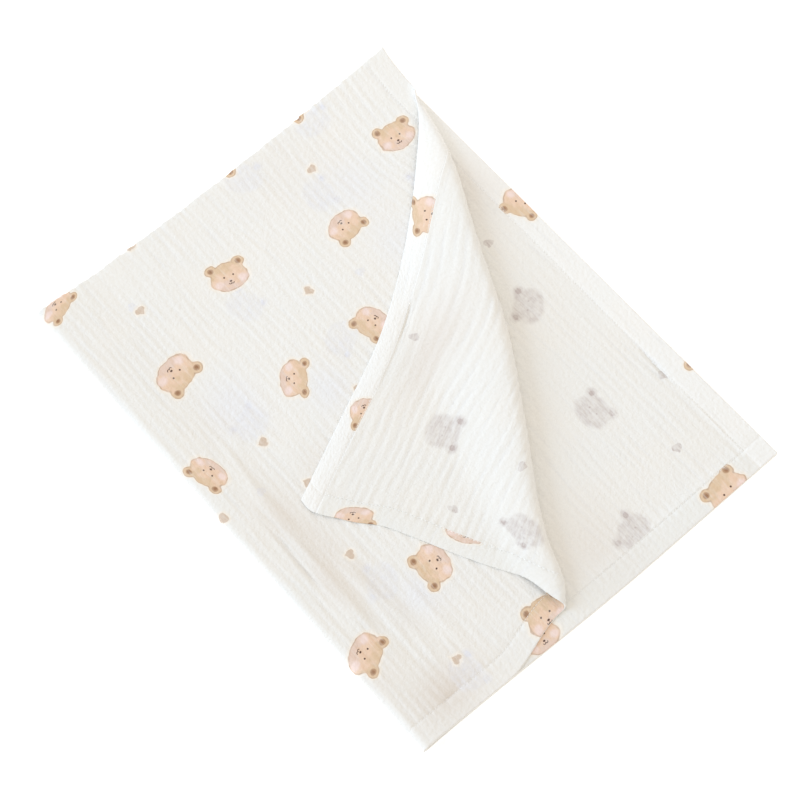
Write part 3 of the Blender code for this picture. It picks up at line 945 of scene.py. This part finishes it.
class Graph:
    """Short ways to write a material's nodes."""

    def __init__(self, name):
        self.material = bpy.data.materials.new(name)
        self.material.use_nodes = True
        self.nodes = self.material.node_tree.nodes
        self.links = self.material.node_tree.links
        self.shader = self.nodes["Principled BSDF"]

    def put(self, values, sockets):
        """Put values into a node's sockets. A tuple is a colour as a screen shows it."""
        for value, socket in zip(values, sockets):
            if isinstance(value, bpy.types.NodeSocket):
                self.links.new(value, socket)
            else:
                socket.default_value = linear(value) if isinstance(value, tuple) else value

    def math(self, operation, first, second=0.0, third=0.0):
        node = self.nodes.new("ShaderNodeMath")
        node.operation = operation
        self.put((first, second, third), node.inputs)
        return node.outputs[0]

    def add(self, first, second):
        return self.math("ADD", first, second)

    def take(self, first, second):
        return self.math("SUBTRACT", first, second)

    def times(self, first, second):
        return self.math("MULTIPLY", first, second)

    def split(self, vector):
        node = self.nodes.new("ShaderNodeSeparateXYZ")
        self.links.new(vector, node.inputs[0])
        return node.outputs

    def held(self, name, output="Fac"):
        """What the mesh holds by this name, as a number or a vector."""
        node = self.nodes.new("ShaderNodeAttribute")
        node.attribute_name = name
        return node.outputs[output]

    def cloth_place(self, stretch=(1.0, 1.0)):
        """The place on the flat cloth, in metres, stretched."""
        uv = self.nodes.new("ShaderNodeUVMap")
        uv.uv_map = "Cloth"
        scale = self.nodes.new("ShaderNodeVectorMath")
        scale.operation = "MULTIPLY"
        self.links.new(uv.outputs[0], scale.inputs[0])
        scale.inputs[1].default_value = (*stretch, 1.0)
        return scale.outputs[0]

    def noise(self, scale, detail=2.0, stretch=(1.0, 1.0)):
        """Noise from 0 to 1 over the flat cloth."""
        node = self.nodes.new("ShaderNodeTexNoise")
        self.links.new(self.cloth_place(stretch), node.inputs["Vector"])
        node.inputs["Scale"].default_value = scale
        node.inputs["Detail"].default_value = detail
        return node.outputs["Fac"]

    def step(self, value, start, end, low=0.0, high=1.0):
        """Soft step of value from start to end."""
        node = self.nodes.new("ShaderNodeMapRange")
        node.interpolation_type = "SMOOTHSTEP"
        self.put((value, start, end, low, high), node.inputs)
        return node.outputs[0]

    def mix(self, share, first, second):
        """Between two colours."""
        node = self.nodes.new("ShaderNodeMix")
        node.data_type = "RGBA"
        self.put((share, first, second), (node.inputs["Factor"], node.inputs[6], node.inputs[7]))
        return node.outputs[2]

    def fade(self, value, step, first, second):
        """The first colour before a soft step of value, and the second one past it."""
        return self.mix(self.step(value, *step), first, second)

    def oval(self, x, y, centre, radii):
        """Rough distance in mm outside an oval."""
        east = self.times(self.take(x, centre[0]), 1 / radii[0])
        north = self.times(self.take(y, centre[1]), 1 / radii[1])
        length = self.math("SQRT", self.add(self.times(east, east), self.times(north, north)))
        return self.times(self.take(length, 1.0), min(radii))

    def finish(self, colour, roughness, specular):
        """Set the surface's colour and how it shines."""
        self.put([colour], [self.shader.inputs["Base Color"]])
        self.shader.inputs["Roughness"].default_value = roughness
        self.shader.inputs["Specular IOR Level"].default_value = specular


def wobble(graph, scale, size):
    """Noise about zero, for edges that a brush has drawn."""
    return graph.times(graph.take(graph.noise(scale, 1.0), 0.5), size)


def bear_shapes(graph, right, up):
    """Distances in mm outside the parts of a bear's head that is drawn upright round (0, 0)."""
    side = graph.math("ABSOLUTE", right)
    uneven_edge = wobble(graph, *HEAD_WOBBLE)
    shape = {part: graph.oval(side, up, *oval) for part, oval in HEAD_OVALS.items()}
    face = graph.math("SMOOTH_MIN", shape["skull"], shape["jowl"], JOWL_BLEND)
    shape["head"] = graph.add(graph.math("SMOOTH_MIN", face, shape["ear"], EAR_BLEND), uneven_edge)
    for part, share in (("inner_ear", INNER_EAR_SHARE), ("cheek", CHEEK_SHARE)):
        shape[part] = graph.add(shape[part], graph.times(uneven_edge, share))
    return shape


def fur(graph, up):
    """Washed-out colours of the fur: tan at the top, peach between and pinker below."""
    level = graph.add(up, wobble(graph, *FUR_WOBBLE))
    lower = graph.fade(level, FUR_PINK_TO_PEACH, FUR_PINK, FUR_PEACH)
    return graph.fade(level, FUR_PEACH_TO_TAN, lower, FUR_TAN)


def bear_colours(graph, cloth, right, up):
    """The cloth's colour with a bear's head printed on it, as a thin wash with a broken outline."""
    shape = bear_shapes(graph, right, up)
    body = graph.fade(shape["head"], HEAD_HALO, cloth, HALO_CREAM)
    body = graph.fade(shape["head"], HEAD_WASH, body, fur(graph, up))
    from_line = graph.math("ABSOLUTE", graph.add(shape["head"], HEAD_LINE_IN))
    broken = graph.step(graph.noise(BREAKS_SCALE, 1.0), *LINE_BREAKS)
    body = graph.mix(graph.times(graph.step(from_line, *HEAD_LINE), broken), body, FUR_LINE)
    for part, step, colour in HEAD_PARTS:
        body = graph.fade(shape[part], step, body, colour)
    smile = graph.step(graph.math("ABSOLUTE", shape["mouth"]), *MOUTH_LINE)
    body = graph.mix(graph.times(smile, graph.step(up, *MOUTH_BELOW)), body, FACE_DARK)
    return graph.mix(worn(graph), body, cloth)


def worn(graph):
    """How much of the print is worn off, in streaks along the cloth and in the crinkle's valleys."""
    in_streak = graph.step(graph.noise(1.0, stretch=WORN_STRETCH), *WORN_STREAKS)
    return graph.add(in_streak, graph.step(graph.held("relief"), *WORN_VALLEYS))


def heart_distance(graph, right, up):
    """Rough distance in mm outside a heart drawn upright round (0, 0)."""
    side = graph.math("ABSOLUTE", right)
    lobe = graph.oval(side, up, *HEART_LOBE)
    point = graph.take(graph.add(side, graph.math("ABSOLUTE", up)), HEART_POINT)
    heart = graph.math("SMOOTH_MIN", lobe, graph.times(point, 0.7071), HEART_BLEND)
    return graph.add(heart, wobble(graph, *HEART_WOBBLE))


def heart_colours(graph, cloth, right, up):
    """The cloth's colour with a heart printed on it."""
    away = heart_distance(graph, right, up)
    body = graph.fade(away, HEART_HALO, cloth, HALO_CREAM)
    tint = graph.mix(graph.noise(HEART_TINT_SCALE, 1.0), HEART_TAN, HEART_DARK)
    body = graph.fade(away, HEART_WASH, body, tint)
    return graph.mix(worn(graph), body, cloth)


def print_parts(graph, attribute):
    """Motif coordinates in mm, and whether the motif is a heart."""
    right, up, kind = graph.split(graph.held(attribute, "Vector"))
    return graph.times(right, 1000.0), graph.times(up, 1000.0), graph.math("GREATER_THAN", kind, 0.5)


def ivory_and_painted_shade(graph, base=IVORY):
    """The cloth's own colour, a little uneven, with painted shade in the crinkle's valleys and in the brown
    patches, and its blue patches.
    """
    warm = graph.fade(graph.noise(IVORY_SCALE, 3.0), IVORY_WARMTH, IVORY_COOL, IVORY_WARM)
    cloth = graph.mix(IVORY_SPREAD, base, warm)
    # Painted shade in the crinkle's valleys.
    cloth = graph.fade(graph.held("relief"), VALLEY_SHADE_STEP, cloth, VALLEY_SHADE_GREY)
    # Painted shade: the brown patches where the roll, folds and seams shade the cloth.
    cloth = graph.mix(graph.held("painted_shade"), cloth, PAINTED_SHADE_BROWN)
    return graph.mix(graph.held("blue"), cloth, PATCH_BLUE)


def threads(graph):
    """Height in metres of a plain weave's threads, which pass over and under each other."""
    stretch = math.pi / THREAD_PITCH
    along, across, _ = graph.split(graph.cloth_place((stretch, stretch)))
    weave = graph.times(graph.math("SINE", along), graph.math("SINE", across))
    return graph.times(weave, THREAD_HEIGHT)


def gauze_bump(graph):
    """Fine puckers of the gauze and its open weave, as heights in metres."""
    fine = graph.times(graph.noise(1 / FINE_PUCKER_SIZE, 1.5), FINE_PUCKER_HEIGHT)
    crepe = graph.times(graph.noise(1.0, 3.0, CREPE_STRETCH), CREPE_HEIGHT)
    bump = graph.nodes.new("ShaderNodeBump")
    bump.inputs["Strength"].default_value = 1.0
    bump.inputs["Distance"].default_value = 1.0
    graph.links.new(graph.add(graph.add(fine, crepe), threads(graph)), bump.inputs["Height"])
    graph.links.new(bump.outputs[0], graph.shader.inputs["Normal"])


def finish_gauze(graph, colour):
    """Matt cotton."""
    graph.finish(colour, *GAUZE_FINISH)
    gauze_bump(graph)
    return graph.material


def full_print(graph, cloth):
    """The print in full colour."""
    right, up, is_heart = print_parts(graph, "print_place")
    bear = bear_colours(graph, cloth, right, up)
    return graph.mix(is_heart, bear, heart_colours(graph, cloth, right, up))


def ghost(graph, cloth, attribute, colour, strength):
    """The print as it shows through from the other side, streaked by the crinkle."""
    right, up, is_heart = print_parts(graph, attribute)
    shape = bear_shapes(graph, right, up)
    heart = graph.step(heart_distance(graph, right, up), *GHOST_HEART)
    bear = graph.step(shape["head"], *GHOST_HEAD)
    dark = graph.step(graph.math("MINIMUM", shape["inner_ear"], shape["eye"]), *GHOST_DARK)
    bear = graph.math("MAXIMUM", bear, graph.add(bear, dark))
    mask = graph.add(graph.times(heart, is_heart), graph.times(bear, graph.take(1.0, is_heart)))
    streaks = graph.step(graph.noise(1.0, stretch=GHOST_STRETCH), *GHOST_STREAKS)
    blotches = graph.step(graph.noise(BLOTCH_SCALE), *GHOST_BLOTCHES)
    mask = graph.times(mask, graph.times(streaks, blotches))
    return graph.mix(graph.times(mask, strength), cloth, colour)


def printed_gauze():
    """The printed side, with a hint of the print on the layer below."""
    graph = Graph("gauze_printed_side")
    cloth = ghost(graph, ivory_and_painted_shade(graph), "below_place", SHOW_THROUGH, SHOW_THROUGH_STRENGTH)
    return finish_gauze(graph, full_print(graph, cloth))


def reverse_gauze():
    """The unprinted side, with its own print showing through."""
    graph = Graph("gauze_reverse_side")
    cloth = ivory_and_painted_shade(graph, REVERSE_IVORY)
    return finish_gauze(graph, ghost(graph, cloth, "print_place", GHOST_GREY, GHOST_STRENGTH))


def hem_gauze():
    """The printed cloth that is turned in at the hems, on the unprinted side, with painted light on the long
    hems and painted shade on the short ones.
    """
    graph = Graph("gauze_hem")
    _, across, _ = graph.split(graph.cloth_place())
    inner = FOLDED_WIDTH - HEM_WIDTH
    blend = (inner - HEM_BLEND, inner + HEM_BLEND)
    # Painted light on the long hems and painted shade on the short ones.
    base = graph.fade(graph.math("ABSOLUTE", across), blend, SHADED_SHORT_HEM_IVORY, LIT_LONG_HEM_IVORY)
    return finish_gauze(graph, full_print(graph, ivory_and_painted_shade(graph, base)))


def thread_cotton():
    """Plain white sewing thread."""
    graph = Graph("white_thread")
    graph.finish(THREAD_WHITE, *THREAD_FINISH)
    return graph.material


def add_stage():
    """A plain white floor with a slight glow."""
    corners = [(x * FLOOR_HALF, y * FLOOR_HALF, 0.0) for x, y in ((-1, -1), (1, -1), (1, 1), (-1, 1))]
    mesh = bpy.data.meshes.new("floor")
    mesh.from_pydata(corners, [], [(0, 1, 2, 3)])
    graph = Graph("floor_white")
    graph.finish(FLOOR_WHITE, *FLOOR_FINISH)
    graph.shader.inputs["Emission Color"].default_value = (1.0, 1.0, 1.0, 1.0)
    graph.shader.inputs["Emission Strength"].default_value = FLOOR_GLOW
    mesh.materials.append(graph.material)
    add_object("floor", mesh)


def direction(azimuth, elevation):
    """The way to an azimuth and an elevation in degrees."""
    azimuth = math.radians(azimuth)
    elevation = math.radians(elevation)
    level = math.cos(elevation)
    return Vector((math.sin(azimuth) * level, -math.cos(azimuth) * level, math.sin(elevation)))


def add_lamp(name, kind, power, towards):
    """A lamp that shines on the middle from a direction."""
    lamp = bpy.data.lights.new(name, kind)
    lamp.energy = power
    light = add_object(name, lamp)
    light.rotation_euler = towards.to_track_quat("Z", "Y").to_euler()
    return lamp, light


def add_lamps():
    """Soft light from the photograph's left, and a soft lamp above the far corner of the blanket."""
    sun, _ = add_lamp("key", "SUN", SUN_POWER, direction(SUN_AZIMUTH, SUN_ELEVATION))
    sun.angle = math.radians(SUN_WIDTH)
    sun.color = SUN_COLOUR
    overhead, light = add_lamp("overhead", "AREA", OVERHEAD_POWER, OVERHEAD_PLACE)
    overhead.size = OVERHEAD_SIZE
    light.location = OVERHEAD_PLACE


def add_studio():
    """Even, slightly warm light from all round, and the two lamps."""
    world = bpy.data.worlds.new("studio")
    world.use_nodes = True
    background = world.node_tree.nodes["Background"]
    background.inputs["Color"].default_value = STUDIO_COLOUR
    background.inputs["Strength"].default_value = STUDIO_STRENGTH
    bpy.context.scene.world = world
    bpy.context.scene.view_settings.view_transform = "Standard"
    add_lamps()


def add_camera():
    """The camera at the photograph's angle."""
    back = direction(VIEW_AZIMUTH, VIEW_ELEVATION)
    lens = bpy.data.cameras.new("camera")
    lens.lens = LENS
    camera = add_object("camera", lens)
    camera.location = VIEW_TARGET + back * VIEW_DISTANCE
    camera.rotation_euler = (-back).to_track_quat("-Z", "Y").to_euler()
    bpy.context.scene.camera = camera


centre = stack_centre()
cloth = add_cloth(centre)
stitching = add_stitching(centre)
for piece in (cloth, stitching):
    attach(piece, "root")
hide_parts("swaddle_blanket")
add_stage()
add_studio()
add_camera()
